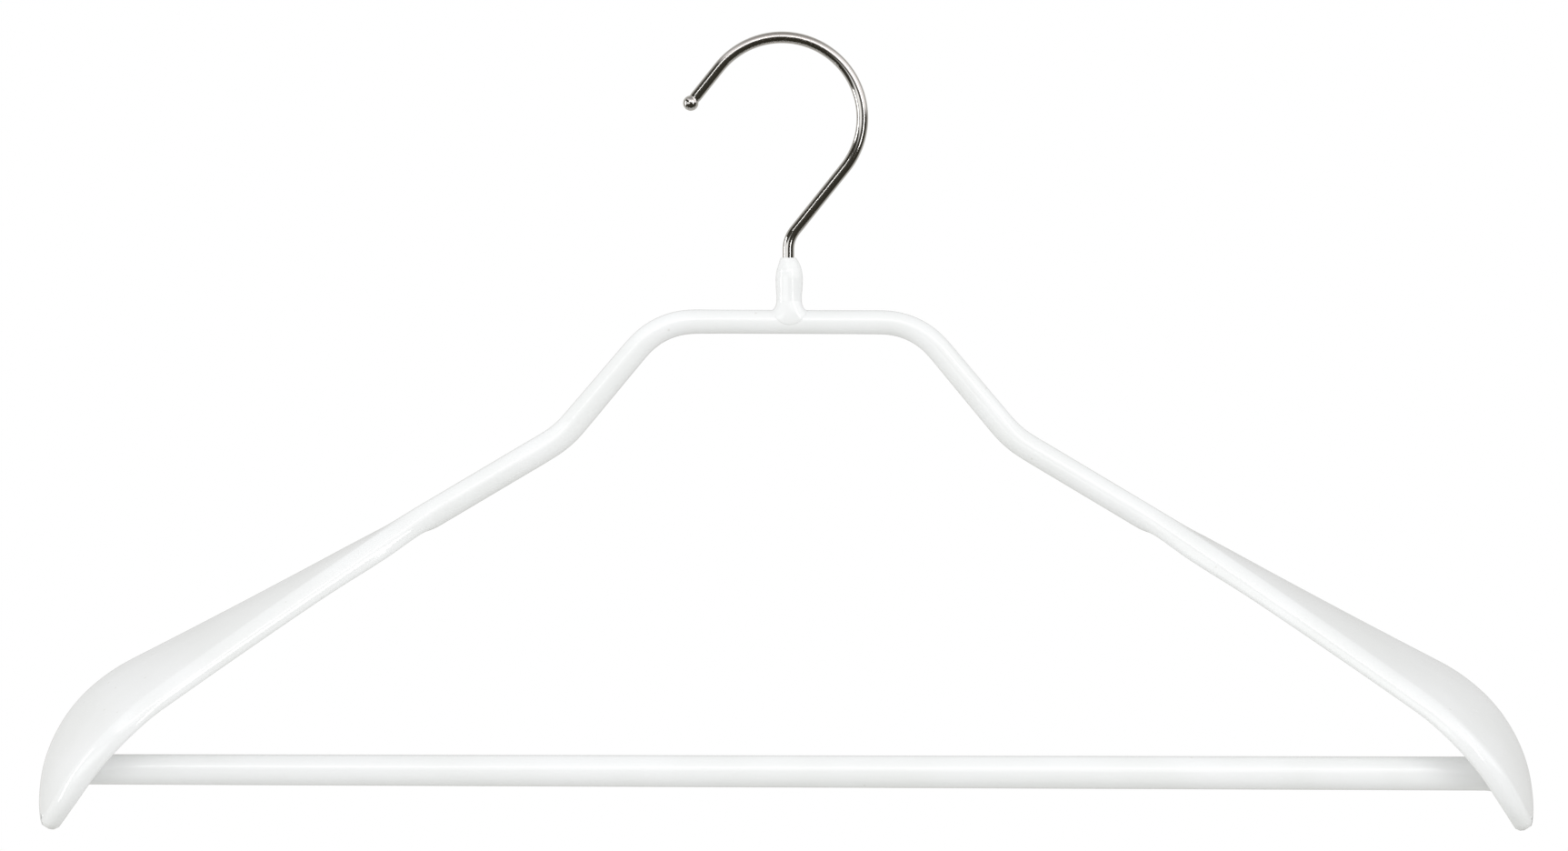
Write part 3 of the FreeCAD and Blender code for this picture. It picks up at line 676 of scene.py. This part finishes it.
white_dip = dipped_pvc()
arch_skin = grid_piece("arch_and_shoulder_skin", arch_grid())
arch_skin.data.materials.append(white_dip)
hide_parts("tube_coating", "shoulder_coating_left", "shoulder_coating_right")
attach(arch_skin, "frame")


# ------------------------------------------------------------------ pressed plates
# Each plate is pressed from steel sheet to a crowned channel and welded to the tube's end. It
# lies one coat inside the skin, from the joint to just short of the tip.
COAT = 0.7
SHEET_FROM, SHEET_SHORTFALL = 0.2, 4.0

for side, name in ((-1, "left"), (1, "right")):
    plate_grid = shoulder_side(side, COAT, SHEET_FROM, SHEET_SHORTFALL)
    plate = grid_piece("pressed_plate_" + name, plate_grid[::side])
    plate.data.materials.append(pressed_sheet)
    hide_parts("shoulder_plate_" + name)
    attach(plate, "frame")


# ------------------------------------------------------------------ coated trouser bar
# A straight round tube in the same dip, a little thicker towards the right where the dip ran,
# and laid a little low there. Its ends are welded to the plates and flare in their hollows.
BAR_RADIUS = 4.58
BAR_THICKENING = 0.28
BAR_FLARE = 1.5
BAR_SAG, BAR_TILT = -0.06, 0.39
bar_low, bar_high = (np.array(corner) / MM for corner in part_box("trouser_bar"))
BAR_Y, BAR_Z = (bar_low[1:] + bar_high[1:]) / 2
BAR_HALF = bar_high[0] + 1.0


def bar_grid():
    """Rings along the bar: the radius grows evenly from left to right, and flares at both
    ends by the square of the distance into the last few millimetres. The middle line falls
    evenly from left to right."""
    x = np.concatenate([np.linspace(-BAR_HALF, -BAR_HALF + 8, 17)[:-1],
                        np.linspace(-BAR_HALF + 8, BAR_HALF - 8, 300),
                        np.linspace(BAR_HALF - 8, BAR_HALF, 17)[1:]])
    flare = np.clip(1 - (BAR_HALF - np.abs(x)) / 5.0, 0, 1) ** 2 * BAR_FLARE
    radius = BAR_RADIUS + BAR_THICKENING * x / BAR_HALF + flare
    sag = BAR_SAG - BAR_TILT * x / BAR_HALF
    around = np.linspace(0, 2 * np.pi, 64, endpoint=False)
    return np.stack([
        np.broadcast_to(x[:, None], (len(x), 64)),
        BAR_Y + radius[:, None] * np.cos(around),
        BAR_Z + sag[:, None] + radius[:, None] * np.sin(around),
    ], axis=-1)


bar_skin = grid_piece("trouser_bar_skin", bar_grid())
bar_skin.data.materials.append(white_dip)
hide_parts("bar_coating")
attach(bar_skin, "frame")


# ------------------------------------------------------------------ coated neck
# The dip over the crimped sleeve: a thin soft lip round the wire, a bulge where the hook's
# head sits, a waist, and a fillet that flows down onto the round tube on every side.
NECK_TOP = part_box("neck_coating")[1][2] / MM
NECK_BORE = 1.76
NECK_LEAN = 0.25
NECK_OUTLINE = [(0.0, 2.2), (0.4, 2.5), (1.2, 2.85), (2.4, 3.3), (3.9, 3.72), (5.9, 3.95),
                (8.3, 3.88), (11.3, 3.66), (12.8, 3.72)]
FILLET_SIDE, FILLET_FRONT = 5.3, 6.6
FILLET_STEPS = 14
SLEEVE_INSIDE = [(0.9, 1.76), (2.4, 2.72), (4.5, 3.30), (12.8, 3.20)]


def neck_grid():
    """Rings round the neck's wall: down the outside, under the foot and up the inside.

    The outside is the outline's radius at each drop, then a fillet: a quadratic curve for
    each angle round, from the neck's foot by way of a ring a little wider than it to a ring
    laid on the tube by wrapping flat polar coordinates round the tube's skin. A slow
    four-sided ripple follows the crimp. The inside follows the sleeve up to the bore.
    """
    around = np.linspace(0, 2 * np.pi, 64, endpoint=False)
    drops, radii = np.array(NECK_OUTLINE).T
    drop = np.linspace(0, drops[-1], 60)
    outline = np.interp(drop, drops, radii)
    window = np.hanning(9)
    padded = np.concatenate([np.repeat(outline[0], 4), outline, np.repeat(outline[-1], 4)])
    outline = np.convolve(padded, window / window.sum(), mode="valid")
    crimp = np.sin(np.pi * drop / drops[-1]) * 0.07
    radius = outline[:, None] + crimp[:, None] * np.cos(4 * around + 0.6)
    lean = NECK_LEAN * smooth_step(drop / 2.0)[:, None]
    wall = np.stack([radius * np.cos(around) + lean, radius * np.sin(around),
                     np.broadcast_to(NECK_TOP - drop[:, None], radius.shape)], axis=-1)

    def wrapped(distance, lift):
        """A ring at a distance from the axis, laid on the tube's skin or lifted off it."""
        reach = SKIN_RADIUS_MIDDLE + lift
        angle = distance * np.sin(around) / SKIN_RADIUS_MIDDLE
        return np.stack([distance * np.cos(around) + NECK_LEAN, reach * np.sin(angle),
                         ARCH_TOP + reach * np.cos(angle)], axis=-1)

    front = np.abs(np.sin(around))
    foot = wall[-1]
    control = wrapped(outline[-1] + 0.2 + 1.2 * front, 0.1 + 1.0 * front)
    landing = wrapped(FILLET_SIDE + (FILLET_FRONT - FILLET_SIDE) * front ** 2, -0.04)
    part = np.linspace(0, 1, FILLET_STEPS + 1)[1:, None, None]
    fillet = foot * (1 - part) ** 2 + 2 * control * part * (1 - part) + landing * part ** 2
    sunk = wrapped(FILLET_SIDE - 1.0, -0.4)

    inner_drop, inner_radius = np.array(SLEEVE_INSIDE[::-1]).T
    inner_up = np.broadcast_to(NECK_TOP - inner_drop[:, None], (len(inner_drop), 64))
    inner = np.stack([inner_radius[:, None] * np.cos(around),
                      inner_radius[:, None] * np.sin(around), inner_up], axis=-1)
    bore = np.stack([NECK_BORE * np.cos(around), NECK_BORE * np.sin(around),
                     np.full_like(around, NECK_TOP)], axis=-1)
    return np.concatenate([wall, fillet, sunk[None], inner, bore[None]], axis=0)[::-1]


neck_skin = grid_piece("neck_skin", neck_grid(), ends="joined")
neck_skin.data.materials.append(white_dip)
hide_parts("neck_coating")
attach(neck_skin, "frame")
